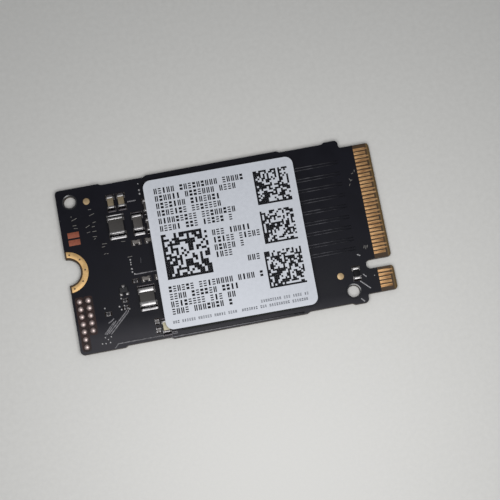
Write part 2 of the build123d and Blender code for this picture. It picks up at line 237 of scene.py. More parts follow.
finishes = {
    "laminate": {
        "dark": (42, 27, 11), "light": (66, 46, 22), "grain": (1.2, 1.2, 9.0),
        "rough": (0.45, 0.62), "bump": 0.004, "specular": 0.3, "weave": (0.32, (56, 39, 18)),
        "wear_and_sheen": ((1, 0, 0), 20.5, 20.72, (94, 73, 38)),
    },
    "solder_mask": {
        "dark": (1, 1, 11), "light": (5, 5, 17), "grain": 0.35,
        "rough": (0.38, 0.5), "bump": 0.002, "specular": 0.15, "specks": (1.6, 0.05, (60, 59, 62)),
        # lighter towards the low edge: a painted sheen; the specks are dust
        "wear_and_sheen": ((-0.08, -1, 0), 8.3, 10.9, (43, 42, 47)),
    },
    "gold": {
        "dark": (112, 74, 42), "light": (198, 160, 114), "grain": (0.9, 9.0, 3.0),
        "rough": (0.42, 0.56), "bump": 0.0008, "metallic": 0.85,
    },
    "land_gold": {
        "dark": (184, 148, 96), "light": (206, 172, 122), "grain": 3.0,
        "rough": (0.42, 0.56), "bump": 0.0008, "metallic": 0.75,
    },
    "mark_gold": {
        "dark": (148, 127, 96), "light": (170, 147, 112), "grain": 3.0,
        "rough": (0.42, 0.56), "bump": 0.0008, "metallic": 0.75,
    },
    "copper": {
        "dark": (120, 61, 42), "light": (146, 81, 59), "grain": 3.0,
        "rough": (0.45, 0.62), "bump": 0.001, "metallic": 0.4,
    },
    "solder": {
        "dark": (96, 95, 96), "light": (122, 121, 122), "grain": 4.0,
        "rough": (0.14, 0.22), "bump": 0.0002, "metallic": 1.0,
    },
    "dull_solder": {
        "dark": (40, 38, 40), "light": (56, 54, 57), "grain": 4.0,
        "rough": (0.2, 0.3), "bump": 0.0006, "metallic": 1.0,
    },
    "satin_solder": {
        "dark": (104, 101, 102), "light": (138, 135, 136), "grain": 4.0,
        "rough": (0.32, 0.44), "bump": 0.0006, "metallic": 0.8,
    },
    "dome_solder": {
        "dark": (178, 161, 157), "light": (210, 193, 189), "grain": 4.0,
        "rough": (0.38, 0.5), "bump": 0.001, "metallic": 0.85,
    },
    "terminal": {
        "dark": (126, 124, 124), "light": (154, 152, 152), "grain": 4.0,
        "rough": (0.24, 0.34), "bump": 0.0005, "metallic": 1.0,
    },
    "dull_tin": {
        "dark": (92, 90, 91), "light": (118, 116, 117), "grain": 4.0,
        "rough": (0.22, 0.32), "bump": 0.0005, "metallic": 1.0,
    },
    "satin_tin": {
        "dark": (112, 109, 106), "light": (138, 134, 130), "grain": 4.0,
        "rough": (0.14, 0.22), "bump": 0.0005, "metallic": 0.75,
    },
    "tiny_tin": {
        "dark": (68, 66, 67), "light": (88, 86, 87), "grain": 4.0,
        "rough": (0.16, 0.24), "bump": 0.0004, "metallic": 1.0,
    },
    "tan_ceramic": {
        "dark": (95, 83, 61), "light": (117, 104, 81), "grain": 8.0,
        "rough": (0.42, 0.6), "bump": 0.003,
    },
    "grey_ceramic": {
        "dark": (53, 50, 48), "light": (69, 65, 62), "grain": 8.0,
        "rough": (0.42, 0.6), "bump": 0.003, "specular": 0.3,
    },
    "pale_ceramic": {
        "dark": (80, 76, 73), "light": (104, 99, 95), "grain": 8.0,
        "rough": (0.42, 0.6), "bump": 0.003,
    },
    "grey_ferrite": {
        "dark": (43, 41, 39), "light": (60, 57, 55), "grain": 11.0,
        "rough": (0.5, 0.68), "bump": 0.005, "specular": 0.3,
    },
    "resistor_black": {
        "dark": (9, 9, 11), "light": (16, 16, 19), "grain": 6.0,
        "rough": (0.45, 0.6), "bump": 0.002, "specular": 0.1,
    },
    "pale_tan": {
        "dark": (164, 156, 128), "light": (188, 181, 154), "grain": 8.0,
        "rough": (0.42, 0.6), "bump": 0.003,
    },
    "grey_glaze": {
        "dark": (26, 26, 29), "light": (44, 43, 47), "grain": 6.0,
        "rough": (0.45, 0.6), "bump": 0.002, "specular": 0.2,
    },
    "mould": {
        "dark": (25, 25, 28), "light": (36, 36, 39), "grain": 10.0,
        "rough": (0.5, 0.68), "bump": 0.004, "specular": 0.25,
    },
    "substrate": {
        "dark": (44, 56, 34), "light": (60, 74, 46), "grain": (1.0, 1.0, 22.0),
        "rough": (0.45, 0.6), "bump": 0.002,
    },
    "label": {
        "dark": (188, 191, 198), "light": (195, 198, 205), "grain": 2.2,
        "rough": (0.42, 0.54), "bump": 0.001, "specular": 0.35,
    },
    "ink": {
        "dark": (4, 4, 9), "light": (9, 9, 15), "grain": 5.0,
        "rough": (0.45, 0.55), "bump": 0.0005, "specular": 0.1,
    },
    "faint_ink": {
        "dark": (74, 77, 84), "light": (96, 99, 106), "grain": 5.0,
        "rough": (0.4, 0.5), "bump": 0.0005, "specular": 0.2,
    },
    # copper under the film: its tone is partly its own and partly a painted sheen, which fades out to the
    # film's tone towards the card edge
    "covered_copper": {
        "dark": (44, 44, 49), "light": (106, 105, 111), "grain": 0.9,
        "rough": (0.38, 0.5), "bump": 0.0005, "specular": 0.15,
        "wear_and_sheen": ((1, 0, 0), 12.5, 16.0, (33, 33, 39)),
    },
    # traces lighter than the covered ones: a painted sheen on copper ridges, fading out towards +x
    "trace_painted_sheen": {
        "dark": (116, 115, 120), "light": (180, 178, 182), "grain": 2.4,
        "rough": (0.38, 0.5), "bump": 0.0005, "specular": 0.2,
        "wear_and_sheen": ((1, 0, 0), -1.0, 8.5, (44, 43, 48)),
    },
    "ring_film": {
        "dark": (3, 3, 9), "light": (7, 7, 14), "grain": 1.5,
        "rough": (0.14, 0.22), "bump": 0.0003, "specular": 0.7,
    },
    # light ticks that paint glints of the film's relief
    "film_painted_glint": {
        "dark": (86, 83, 80), "light": (120, 117, 112), "grain": 3.0,
        "rough": (0.4, 0.55), "bump": 0.001,
    },
    "bare_via": {
        "dark": (114, 113, 114), "light": (158, 157, 158), "grain": 3.0,
        "rough": (0.36, 0.5), "bump": 0.001, "metallic": 0.6,
    },
    # near-white lines that paint glints on trace ridges
    "trace_painted_glint": {
        "dark": (172, 171, 174), "light": (212, 211, 214), "grain": 3.0,
        "rough": (0.36, 0.5), "bump": 0.0005,
    },
    "flux": {
        "dark": (15, 8, 9), "light": (46, 22, 18), "grain": 1.1,
        "rough": (0.28, 0.4), "bump": 0.002, "specular": 0.2,
    },
    "via_well": {
        "dark": (60, 46, 28), "light": (92, 70, 42), "grain": 6.0,
        "rough": (0.5, 0.65), "bump": 0.002,
    },
}
materials = {name: makeFinish(name, look) for name, look in finishes.items()}
for name, node in nodes.items():
    node.data.materials.clear()
    node.data.materials.append(materials[slotOf[name]])
print("finishes made:", len(materials))


# Helpers for pieces
weld = {"cad": 1e-7, "made": 1e-8}  # corners this close, in metres, are one


def putInScene(name, data):
    thing = bpy.data.objects.new(name, data)
    bpy.context.scene.collection.objects.link(thing)
    return thing


def asPiece(name, mesh, finish, stands=()):
    mesh.materials.clear()
    mesh.materials.append(materials[finish])
    piece = putInScene(name, mesh)
    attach(piece, "root")
    if stands:
        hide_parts(*stands)
    return piece


def closedMesh(name, bm, smooth=True):
    bmesh.ops.remove_doubles(bm, verts=bm.verts, dist=weld["made"])
    bmesh.ops.recalc_face_normals(bm, faces=bm.faces)
    for face in bm.faces:
        face.smooth = smooth
    mesh = bpy.data.meshes.new(name)
    bm.to_mesh(mesh)
    bm.free()
    return mesh


def mergedCopy(nodeName):
    # a CAD node's loose triangles, joined at their corners
    bm = bmesh.new()
    bm.from_mesh(nodes[nodeName].data)
    bmesh.ops.remove_doubles(bm, verts=bm.verts, dist=weld["cad"])
    return bm


def solidsOf(nodeName):
    # lowest and highest corner of each separate solid in a CAD node
    bm = mergedCopy(nodeName)
    seen, found = set(), []
    for first in bm.verts:
        if first in seen:
            continue
        queue, corners = [first], []
        seen.add(first)
        while queue:
            corner = queue.pop()
            corners.append(corner.co.copy())
            for edge in corner.link_edges:
                other = edge.other_vert(corner)
                if other not in seen:
                    seen.add(other)
                    queue.append(other)
        low = Vector(min(c[i] for c in corners) for i in range(3))
        high = Vector(max(c[i] for c in corners) for i in range(3))
        found.append((low, high))
    bm.free()
    return found


def plainMesh(piece):
    # the evaluated result as a plain mesh
    graph = bpy.context.evaluated_depsgraph_get()
    return bpy.data.meshes.new_from_object(piece.evaluated_get(graph), depsgraph=graph)


def dropObject(thing):
    data = thing.data
    bpy.data.objects.remove(thing)
    if data.users == 0 and isinstance(data, bpy.types.Mesh):
        bpy.data.meshes.remove(data)


# In degrees: faces flatter than the first become one, edges sharper than the second are rounded
easing = {"flat": 2, "sharp": 35, "segments": 3}


def roundedCopy(nodeName, radius):
    # a CAD node's form with its sharp edges eased, as cut, moulded or plated edges are
    bm = mergedCopy(nodeName)
    flat = math.radians(easing["flat"])
    bmesh.ops.dissolve_limit(bm, angle_limit=flat, verts=bm.verts, edges=bm.edges)
    scratch = putInScene("easing", closedMesh(nodeName + "_eased", bm))
    bevel = scratch.modifiers.new("ease", "BEVEL")
    bevel.width = radius * mm
    bevel.segments = easing["segments"]
    bevel.limit_method = "ANGLE"
    bevel.angle_limit = math.radians(easing["sharp"])
    bevel.harden_normals = True
    result = plainMesh(scratch)
    result.name = nodeName + "_eased"
    dropObject(scratch)
    return result


# Geometry node trees

def paintLast(group, given, shape, made):
    # every tree ends by setting the finish
    paint = addNode(group, "GeometryNodeSetMaterial")
    wire(
        group,
        (shape, "Geometry", paint, "Geometry"),
        (given, "Finish", paint, "Material"),
        (paint, "Geometry", made, "Geometry"),
    )


def makeStampTree():
    # a stamp on every point, sized and turned by the point's own attributes
    group, given, made = newGroup(
        "stampOnPoints",
        "GeometryNodeTree",
        [
            ("Geometry", "Geometry"),
            ("Stamp", "Object"),
            ("Spread", "Float"),
            ("Seed", "Int"),
            ("Finish", "Material"),
        ],
        [("Geometry", "Geometry")],
    )
    stamp = addNode(group, "GeometryNodeObjectInfo")
    size = addNode(group, "GeometryNodeInputNamedAttribute", data_type="FLOAT_VECTOR")
    turn = addNode(group, "GeometryNodeInputNamedAttribute", data_type="FLOAT")
    setInputs(size, Name="size")
    setInputs(turn, Name="turn")
    euler = addNode(group, "ShaderNodeCombineXYZ")
    least = addNode(group, "ShaderNodeMath", operation="SUBTRACT")
    least.inputs[0].default_value = 1.0
    spread = addNode(group, "FunctionNodeRandomValue", data_type="FLOAT")
    spread.inputs[3].default_value = 1.0  # sockets 2 and 3 are the least and the most of a float
    scaled = addNode(group, "ShaderNodeVectorMath", operation="SCALE")
    place = addNode(group, "GeometryNodeInstanceOnPoints")
    real = addNode(group, "GeometryNodeRealizeInstances")
    wire(
        group,
        (given, "Stamp", stamp, "Object"),
        (given, "Spread", least, 1),
        (least, 0, spread, 2),
        (given, "Seed", spread, "Seed"),
        (size, "Attribute", scaled, 0),
        (spread, 1, scaled, "Scale"),
        (turn, "Attribute", euler, "Z"),
        (given, "Geometry", place, "Points"),
        (stamp, "Geometry", place, "Instance"),
        (euler, 0, place, "Rotation"),
        (scaled, 0, place, "Scale"),
        (place, "Instances", real, "Geometry"),
    )
    paintLast(group, given, real, made)
    return group


def makeRidgeTree():
    # a low ridge along every path, as copper makes under the film
    group, given, made = newGroup(
        "ridgeOnPath",
        "GeometryNodeTree",
        [
            ("Geometry", "Geometry"),
            ("Width", "Float"),
            ("Top Share", "Float"),
            ("Height", "Float"),
            ("Finish", "Material"),
        ],
        [("Geometry", "Geometry")],
    )
    profile = addNode(group, "GeometryNodeCurvePrimitiveQuadrilateral", mode="TRAPEZOID")
    profile.inputs["Offset"].default_value = 0.0
    narrow = addNode(group, "ShaderNodeMath", operation="MULTIPLY")
    upright = addNode(group, "GeometryNodeSetCurveNormal", mode="Z_UP")
    sweep = addNode(group, "GeometryNodeCurveToMesh")
    sweep.inputs["Fill Caps"].default_value = True
    real = addNode(group, "GeometryNodeRealizeInstances")
    wire(
        group,
        (given, "Width", narrow, 0),
        (given, "Top Share", narrow, 1),
        (given, "Width", profile, "Bottom Width"),
        (narrow, 0, profile, "Top Width"),
        (given, "Height", profile, "Height"),
        (given, "Geometry", upright, "Curve"),
        (upright, "Curve", sweep, "Curve"),
        (profile, "Curve", sweep, "Profile Curve"),
        (sweep, "Mesh", real, "Geometry"),
    )
    paintLast(group, given, real, made)
    return group


def makeCodeTree():
    # a square field of small blocks, some left out at random, with a whole first row and column
    group, given, made = newGroup(
        "blockField",
        "GeometryNodeTree",
        [
            ("Geometry", "Geometry"),
            ("Blocks", "Int"),
            ("Block", "Float"),
            ("Cover", "Float"),
            ("Height", "Float"),
            ("Fill", "Float"),
            ("Seed", "Int"),
            ("Place", "Vector"),
            ("Turn", "Vector"),
            ("Finish", "Material"),
        ],
        [("Geometry", "Geometry")],
    )
    gaps = addNode(group, "ShaderNodeMath", operation="SUBTRACT")
    gaps.inputs[1].default_value = 1.0
    span = addNode(group, "ShaderNodeMath", operation="MULTIPLY")
    grid = addNode(group, "GeometryNodeMeshGrid")
    chance = addNode(group, "FunctionNodeRandomValue", data_type="BOOLEAN")
    where = addNode(group, "GeometryNodeInputPosition")
    parts = addNode(group, "ShaderNodeSeparateXYZ")
    edge = addNode(group, "ShaderNodeMath", operation="MULTIPLY")
    edge.inputs[1].default_value = -0.499  # just inside the first row and column of the span
    onLeft = addNode(group, "FunctionNodeCompare", data_type="FLOAT", operation="LESS_THAN")
    onBottom = addNode(group, "FunctionNodeCompare", data_type="FLOAT", operation="LESS_THAN")
    corner = addNode(group, "FunctionNodeBooleanMath", operation="OR")
    kept = addNode(group, "FunctionNodeBooleanMath", operation="OR")
    covered = addNode(group, "ShaderNodeMath", operation="MULTIPLY")
    shape = addNode(group, "ShaderNodeCombineXYZ")
    block = addNode(group, "GeometryNodeMeshCube")
    place = addNode(group, "GeometryNodeInstanceOnPoints")
    real = addNode(group, "GeometryNodeRealizeInstances")
    move = addNode(group, "GeometryNodeTransform")
    for axis in "XY":
        wire(
            group,
            (span, 0, grid, "Size " + axis),
            (given, "Blocks", grid, "Vertices " + axis),
            (covered, 0, shape, axis),
        )
    wire(
        group,
        (given, "Blocks", gaps, 0),
        (gaps, 0, span, 0),
        (given, "Block", span, 1),
        (given, "Block", covered, 0),
        (given, "Cover", covered, 1),
        (given, "Height", shape, "Z"),
        (given, "Fill", chance, "Probability"),
        (given, "Seed", chance, "Seed"),
        (where, 0, parts, 0),
        (span, 0, edge, 0),
        (parts, "X", onLeft, 0),
        (edge, 0, onLeft, 1),
        (parts, "Y", onBottom, 0),
        (edge, 0, onBottom, 1),
        (onLeft, 0, corner, 0),
        (onBottom, 0, corner, 1),
        (corner, 0, kept, 0),
        (chance, 3, kept, 1),
        (shape, 0, block, "Size"),
        (grid, "Mesh", place, "Points"),
        (kept, 0, place, "Selection"),
        (block, "Mesh", place, "Instance"),
        (place, "Instances", real, "Geometry"),
        (real, "Geometry", move, "Geometry"),
        (given, "Place", move, "Translation"),
        (given, "Turn", move, "Rotation"),
    )
    paintLast(group, given, move, made)
    return group


stampTree = makeStampTree()
ridgeTree = makeRidgeTree()
codeTree = makeCodeTree()


def runTree(name, data, tree, finish, values):
    # inputs go in by their identifiers before the first evaluation
    values = {**values, "Finish": materials[finish]}
    source = bpy.data.objects.new(name, data)
    modifier = source.modifiers.new(tree.name, "NODES")
    modifier.node_group = tree
    for socket in tree.interface.items_tree:
        if socket.in_out == "INPUT" and socket.name in values:
            modifier[socket.identifier] = values[socket.name]
    bpy.context.scene.collection.objects.link(source)
    result = plainMesh(source)
    source.modifiers.clear()
    dropObject(source)
    return result


def stampPiece(name, spots, stampMesh, finish, stands=(), spread=0.0, seed=1):
    # spots: place, size and turn of each stamp, in metres and radians
    mesh = bpy.data.meshes.new(name)
    mesh.from_pydata([tuple(place) for place, size, turn in spots], [], [])
    sizes = mesh.attributes.new("size", "FLOAT_VECTOR", "POINT")
    sizes.data.foreach_set("vector", [part for place, size, turn in spots for part in size])
    turns = mesh.attributes.new("turn", "FLOAT", "POINT")
    turns.data.foreach_set("value", [turn for place, size, turn in spots])
    stamp = bpy.data.objects.new("stamp", stampMesh)
    result = runTree(name, mesh, stampTree, finish, {"Stamp": stamp, "Spread": spread, "Seed": seed})
    bpy.data.objects.remove(stamp)
    result.name = name
    return asPiece(name, result, finish, stands)


def footSpots(solids):
    # the middle of each solid's foot, for a stamp at its own size
    return [(((low.x + high.x) / 2, (low.y + high.y) / 2, low.z), (1, 1, 1), 0) for low, high in solids]


def lathe(name, profile, sides, closed=False, smooth=True):
    # a turned form from pairs of radius and height, which start and end on the axis or close on themselves
    bm = bmesh.new()
    angles = [2 * math.pi * i / sides for i in range(sides)]
    rings = []
    for radius, height in profile:
        if radius == 0:
            rings.append([bm.verts.new((0, 0, height))] * sides)
        else:
            places = [(radius * math.cos(angle), radius * math.sin(angle), height) for angle in angles]
            rings.append([bm.verts.new(place) for place in places])
    if closed:
        rings.append(rings[0])
    for lower, upper in zip(rings, rings[1:]):
        for i in range(sides):
            j = (i + 1) % sides
            corners = []
            for corner in (lower[i], lower[j], upper[j], upper[i]):
                if corner not in corners:
                    corners.append(corner)
            bm.faces.new(corners)
    return closedMesh(name, bm, smooth)


def unitPlate(name):
    # a plate one unit long and wide, with its foot at zero
    bm = bmesh.new()
    bmesh.ops.create_cube(bm, size=1.0)
    bmesh.ops.translate(bm, verts=bm.verts, vec=(0, 0, 0.5))
    return closedMesh(name, bm, smooth=False)


plate = unitPlate("plate")


def addSheet(bm, grid):
    # faces over a grid of corners
    # the quads at its ends are cut through the grid's own corners, so that they can't fold flat
    lastRow, lastColumn = len(grid) - 2, len(grid[0]) - 2
    for i in range(lastRow + 1):
        for j in range(lastColumn + 1):
            quad = [grid[i][j], grid[i + 1][j], grid[i + 1][j + 1], grid[i][j + 1]]
            if i in (0, lastRow) and j in (0, lastColumn):
                if (i == 0) != (j == 0):
                    quad = quad[1:] + quad[:1]
                bm.faces.new(quad[:3])
                bm.faces.new((quad[0], quad[2], quad[3]))
            else:
                bm.faces.new(quad)


# Eased edges on cut, moulded and plated pieces
easedRadius = {
    "signal_contacts_top": 0.012,
    "ground_contacts_top": 0.012,
    "contacts_bottom": 0.012,
    "screw_land_top": 0.012,
    "screw_land_bottom": 0.012,
    "fiducials": 0.012,
    "copper_test_pads": 0.012,
    "package_mould": 0.06,
    "package_substrate": 0.015,
    "transistor_body": 0.025,
    "transistor_leads": 0.03,
    "filter_capacitor_body": 0.05,
    "filter_capacitor_terminals": 0.014,
    "edge_capacitor_body": 0.05,
    "edge_capacitor_terminals": 0.014,
    "output_capacitor_body": 0.06,
    "output_capacitor_terminals": 0.014,
    "input_inductor_body": 0.06,
    "input_inductor_terminals": 0.014,
    "power_inductor_body": 0.06,
    "power_inductor_terminals": 0.014,
    "small_capacitor_body": 0.03,
    "small_capacitor_terminals": 0.014,
    "tiny_resistor_body": 0.015,
    "tiny_resistor_terminals": 0.012,
    "pull_up_resistor_body": 0.03,
    "pull_up_resistor_terminals": 0.02,
}
ownFinish = {
    "screw_land_top": "land_gold",
    "screw_land_bottom": "land_gold",
    "fiducials": "mark_gold",
    "pull_up_resistor_solder": "dull_solder",
    "tiny_resistor_body": "grey_glaze",
    "tiny_resistor_terminals": "tiny_tin",
    "small_capacitor_body": "pale_ceramic",
    "small_capacitor_terminals": "satin_tin",
    "small_capacitor_solder": "satin_solder",
    "tiny_resistor_solder": "dull_solder",
    "filter_capacitor_solder": "dull_solder",
}

# Crowns on the terminals: rise as a share of the short side, and how late it falls towards the ends
crown = {
    "share": 0.07, "endFall": 6,
    "tinyShare": 0.16, "tinyEndFall": 2,
    "inset": 0.02, "steps": 10,
}


def crownForm(bm, low, high, share, endFall):
    # a closed low pillow on the top of one terminal, rounded over its short side
    inset = crown["inset"] * mm
    narrowX = high.x - low.x < high.y - low.y
    height = share * min(high.x - low.x, high.y - low.y)
    top, foot = [], []
    for i in range(crown["steps"] + 1):
        topRow, footRow = [], []
        for j in range(crown["steps"] + 1):
            u, v = (-math.cos(math.pi * step / crown["steps"]) for step in (i, j))
            x = (low.x + high.x) / 2 + u * ((high.x - low.x) / 2 - inset)
            y = (low.y + high.y) / 2 + v * ((high.y - low.y) / 2 - inset)
            over, along = (u, v) if narrowX else (v, u)
            rise = height * (1 - over**2) * (1 - along**endFall)
            topRow.append(bm.verts.new((x, y, high.z + rise)))
            footRow.append(bm.verts.new((x, y, high.z)))
        top.append(topRow)
        foot.append(footRow)
    addSheet(bm, top)
    addSheet(bm, foot)


def crownedCopy(nodeName, radius):
    # eased terminals with a crown on each
    kind = ("tinyShare", "tinyEndFall") if nodeName.startswith("tiny") else ("share", "endFall")
    bm = bmesh.new()
    for low, high in solidsOf(nodeName):
        crownForm(bm, low, high, *(crown[key] for key in kind))
    pillows = closedMesh(nodeName + "_crowns", bm)
    bm = bmesh.new()
    bm.from_mesh(roundedCopy(nodeName, radius))
    bm.from_mesh(pillows)
    mesh = bpy.data.meshes.new(nodeName + "_eased")
    bm.to_mesh(mesh)
    bm.free()
    bpy.data.meshes.remove(pillows)
    return mesh


# Some pieces of a node take another finish in one place, darker or lighter than their fellows: finish, then
# the corners of the place in mm
placeFinish = {
    "filter_capacitor_body": ("pale_tan", (-11, -11, -8, -7)),
    "filter_capacitor_terminals": ("dull_tin", (-11, -11, -8, -7)),
    "tiny_resistor_body": ("pale_ceramic", (-12, -11, -8, -7)),
    "tiny_resistor_terminals": ("dull_tin", (-12, -11, -8, -7)),
    "output_capacitor_solder": ("dull_solder", (-12, 5, -9, 7)),
    "power_inductor_solder": ("dull_solder", (-13, -4.2, -8, -3)),
}


def repaint(piece, nodeName):
    # a second finish on the faces that lie in that place
    if nodeName not in placeFinish:
        return
    finish, (lowX, lowY, highX, highY) = placeFinish[nodeName]
    piece.data.materials.append(materials[finish])
    for face in piece.data.polygons:
        if lowX * mm < face.center.x < highX * mm and lowY * mm < face.center.y < highY * mm:
            face.material_index = 1


for name, radius in easedRadius.items():
    finish = ownFinish.get(name, slotOf[name])
    shaped = crownedCopy if name.endswith("_terminals") else roundedCopy
    piece = asPiece(name + "_eased", shaped(name, radius), finish, [name])
    repaint(piece, name)
print("edges eased:", len(easedRadius))


# Solder beads between the terminals and their pads
bead = {
    "rows": 19, "columns": 21, "hollow": 1.6,
    "toeTaper": 0.1, "taperPower": 3,
    "sideFall": 0.35, "sidePower": 4, "edgePower": 12,
    # a rim's width in mm, then its crest's place and its rise as shares of that width
    "near": (0.26, 0.75, 0.17), "far": (0.17, 0.2, 0.13),
    "rimShare": 0.5, "rimLeast": 0.35, "roundness": 1.5, "floor": 0.1,
    "lip": 0.1,  # slope at the edge of a bead too short for a rim
}


def beadRim(share, crest):
    # height of the rounded rim over the hollow's floor, by the share of its width from the edge
    if share < crest:
        return 1 - (1 - share / crest) ** bead["roundness"]
    fall = (1 + math.cos(math.pi * min(1.0, (share - crest) / (1 - crest)))) / 2
    return bead["floor"] + (1 - bead["floor"]) * fall


def beadForm(bm, low, high, outward):
    # solder climbs the terminal, runs out hollow and ends in a rim at the toe and both sides
    centre = (low + high) / 2
    sideways = Vector((-outward.y, outward.x, 0))
    reach = abs((high - low).dot(outward))
    half = abs((high - low).dot(sideways)) / 2
    heel = Vector((centre.x, centre.y, low.z)) - outward * reach / 2
    # rims on the low side are wider and higher, so that their highlights fall as in the photo
    width, crest, rimRise = bead["near"] if outward.y < 0 else bead["far"]
    hasRim = reach > bead["rimLeast"] * mm
    wide = min(width * mm, bead["rimShare"] * reach) if hasRim else 0.0
    climb = high.z - low.z
    top, foot = [], []
    for row in range(bead["rows"]):
        along = math.sin(math.pi / 2 * row / (bead["rows"] - 1))
        topRow, footRow = [], []
        for column in range(bead["columns"]):
            across = math.sin(math.pi * (column / (bead["columns"] - 1) - 0.5))
            side = half * across * (1 - bead["toeTaper"] * along ** bead["taperPower"])
            flat = heel + outward * reach * along + sideways * side
            fromToe, fromSide = reach * (1 - along), half * (1 - abs(across))
            inward = fromToe * fromSide / (math.hypot(fromToe, fromSide) or 1.0)  # rounded at the corners
            if hasRim:
                rim = rimRise * wide * beadRim(inward / wide, crest)
            else:
                rim = bead["lip"] * inward
            left = max(0.0, 1 - along * reach / (reach - wide))
            sideFall = 1 - bead["sideFall"] * across ** bead["sidePower"]
            rise = climb * left ** bead["hollow"] * sideFall * (1 - across ** bead["edgePower"])
            topRow.append(bm.verts.new(flat + Vector((0, 0, min(climb, rim + rise)))))
            footRow.append(bm.verts.new(flat))
        top.append(topRow)
        foot.append(footRow)
    addSheet(bm, top)
    addSheet(bm, foot)
    for column in range(bead["columns"] - 1):
        bm.faces.new((top[0][column], top[0][column + 1], foot[0][column + 1], foot[0][column]))


families = [name.removesuffix("_solder") for name in nodes if name.endswith("_solder")]
for family in families:
    name = family + "_solder"
    bodies = [(low + high) / 2 for low, high in solidsOf(family + "_body")]
    bm = bmesh.new()
    for low, high in solidsOf(name):
        centre = (low + high) / 2
        away = centre - min(bodies, key=lambda body: (body - centre).length)
        if abs(away.x) > abs(away.y):
            outward = Vector((math.copysign(1, away.x), 0, 0))
        else:
            outward = Vector((0, math.copysign(1, away.y), 0))
        beadForm(bm, low, high, outward)
    finish = ownFinish.get(name, "solder")
    beads = asPiece(name + "_bead", closedMesh(name + "_bead", bm), finish, [name])
    repaint(beads, name)
print("solder beads made:", len(families), "families")


# Domed test points
dome = {"sides": 28, "rings": 8, "spread": 0.05, "seed": 4}
domeSolids = solidsOf("solder_domes")
domeLow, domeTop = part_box("solder_domes")
domeHigh = domeTop.z - domeLow.z
domeWide = (domeSolids[0][1].x - domeSolids[0][0].x) / 2
domeBall = (domeWide**2 + domeHigh**2) / (2 * domeHigh)  # radius of the ball that a dome is part of
domeEdge = math.asin(domeWide / domeBall)
domeProfile = [(0, 0)]
for step in range(dome["rings"]):
    angle = domeEdge * (1 - step / dome["rings"])
    domeProfile.append((domeBall * math.sin(angle), domeBall * math.cos(angle) - domeBall + domeHigh))
domeProfile.append((0, domeHigh))
stampPiece(
    "solderDomes", footSpots(domeSolids), lathe("dome", domeProfile, dome["sides"]),
    "dome_solder", ["solder_domes"], dome["spread"], dome["seed"],
)
print("test points domed:", len(domeSolids))


# Balls under the package: shares of the solid's radius at the ends and the waist, and heights between
ball = {"sides": 12, "neck": 0.8, "waist": 1.12, "levels": (0.2, 0.5, 0.8)}
ballSolids = solidsOf("package_balls")
ballHigh = ballSolids[0][1].z - ballSolids[0][0].z
ballWide = (ballSolids[0][1].x - ballSolids[0][0].x) / 2
ballProfile = [(0, 0), (ball["neck"] * ballWide, 0)]
for level in ball["levels"]:
    bulge = 1 - (2 * level - 1) ** 2
    ballProfile.append((ballWide * (ball["neck"] + (ball["waist"] - ball["neck"]) * bulge), level * ballHigh))
ballProfile += [(ball["neck"] * ballWide, ballHigh), (0, ballHigh)]
ballMesh = lathe("ball", ballProfile, ball["sides"])
stampPiece("packageBalls", footSpots(ballSolids), ballMesh, "solder", ["package_balls"])
print("package balls made:", len(ballSolids))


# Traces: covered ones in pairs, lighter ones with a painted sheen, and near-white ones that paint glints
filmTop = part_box("solder_mask_top")[1].z
traces = {
    "width": 0.15,
    "topShare": 0.4,
    "height": 0.01,
    "pairMiddles": (8.05, 6.5, 5.05, 3.55, 2.05, 0.55, -0.85, -2.45, -3.75),
    "pairGap": 0.36,
    "pairStart": 10.6,
    "pairEnd": 16.6,
    "paths": [[(-11.3, 0.25), (-11.35, -0.45)]],
    "sheenPaths": [
        [(-14.0, -6.3), (-14.2, -6.6), (-16.75, -9.0)],
        [(-14.25, -6.25), (-14.45, -6.5), (-17.0, -8.85)],
        [(-15.85, -7.35), (-17.35, -8.95)],
        [(-16.1, -7.45), (-17.55, -8.85)],
        [(-16.05, -7.0), (-16.35, -7.25), (-16.85, -7.5)],
        [(-16.55, -10.85), (-16.0, -10.35), (-8.2, -10.35)],
        [(-9.9, -10.1), (-8.2, -10.15)],
        [(-9.2, -10.78), (8.4, -10.78)],
        [(-12.3, -1.8), (-9.5, -1.8)],
        [(-11.75, 7.93), (-10.6, 7.93)],
    ],
    "glintPaths": [
        [(16.6, -4.55), (17.0, -4.8)],
        [(16.85, -7.25), (17.25, -7.65)],
        [(16.3, -8.05), (17.5, -9.25)],
        [(16.0, -10.35), (16.4, -10.8)],
    ],
    "glintWidth": 0.17,
    "sheenWidth": 0.2,
}


def ridgePiece(name, paths, width, finish):
    # paths in millimetres, laid on the film
    curve = bpy.data.curves.new(name, "CURVE")
    curve.dimensions = "3D"
    for path in paths:
        line = curve.splines.new("POLY")
        line.points.add(len(path) - 1)
        for point, (x, y) in zip(line.points, path):
            point.co = (x * mm, y * mm, filmTop, 1)
    mesh = runTree(name, curve, ridgeTree, finish, {
        "Width": width * mm, "Top Share": traces["topShare"], "Height": traces["height"] * mm,
    })
    asPiece(name, mesh, finish)


paths = list(traces["paths"])
for middle in traces["pairMiddles"]:
    for side in (0.5, -0.5):
        y = middle + side * traces["pairGap"]
        paths.append([(traces["pairStart"], y), (traces["pairEnd"], y)])
ridgePiece("filmTraces", paths, traces["width"], "covered_copper")
ridgePiece("scuffedTraces", traces["sheenPaths"], traces["sheenWidth"], "trace_painted_sheen")
ridgePiece("bareTraces", traces["glintPaths"], traces["glintWidth"], "trace_painted_glint")
print("traces laid:", len(paths) + len(traces["sheenPaths"]) + len(traces["glintPaths"]))
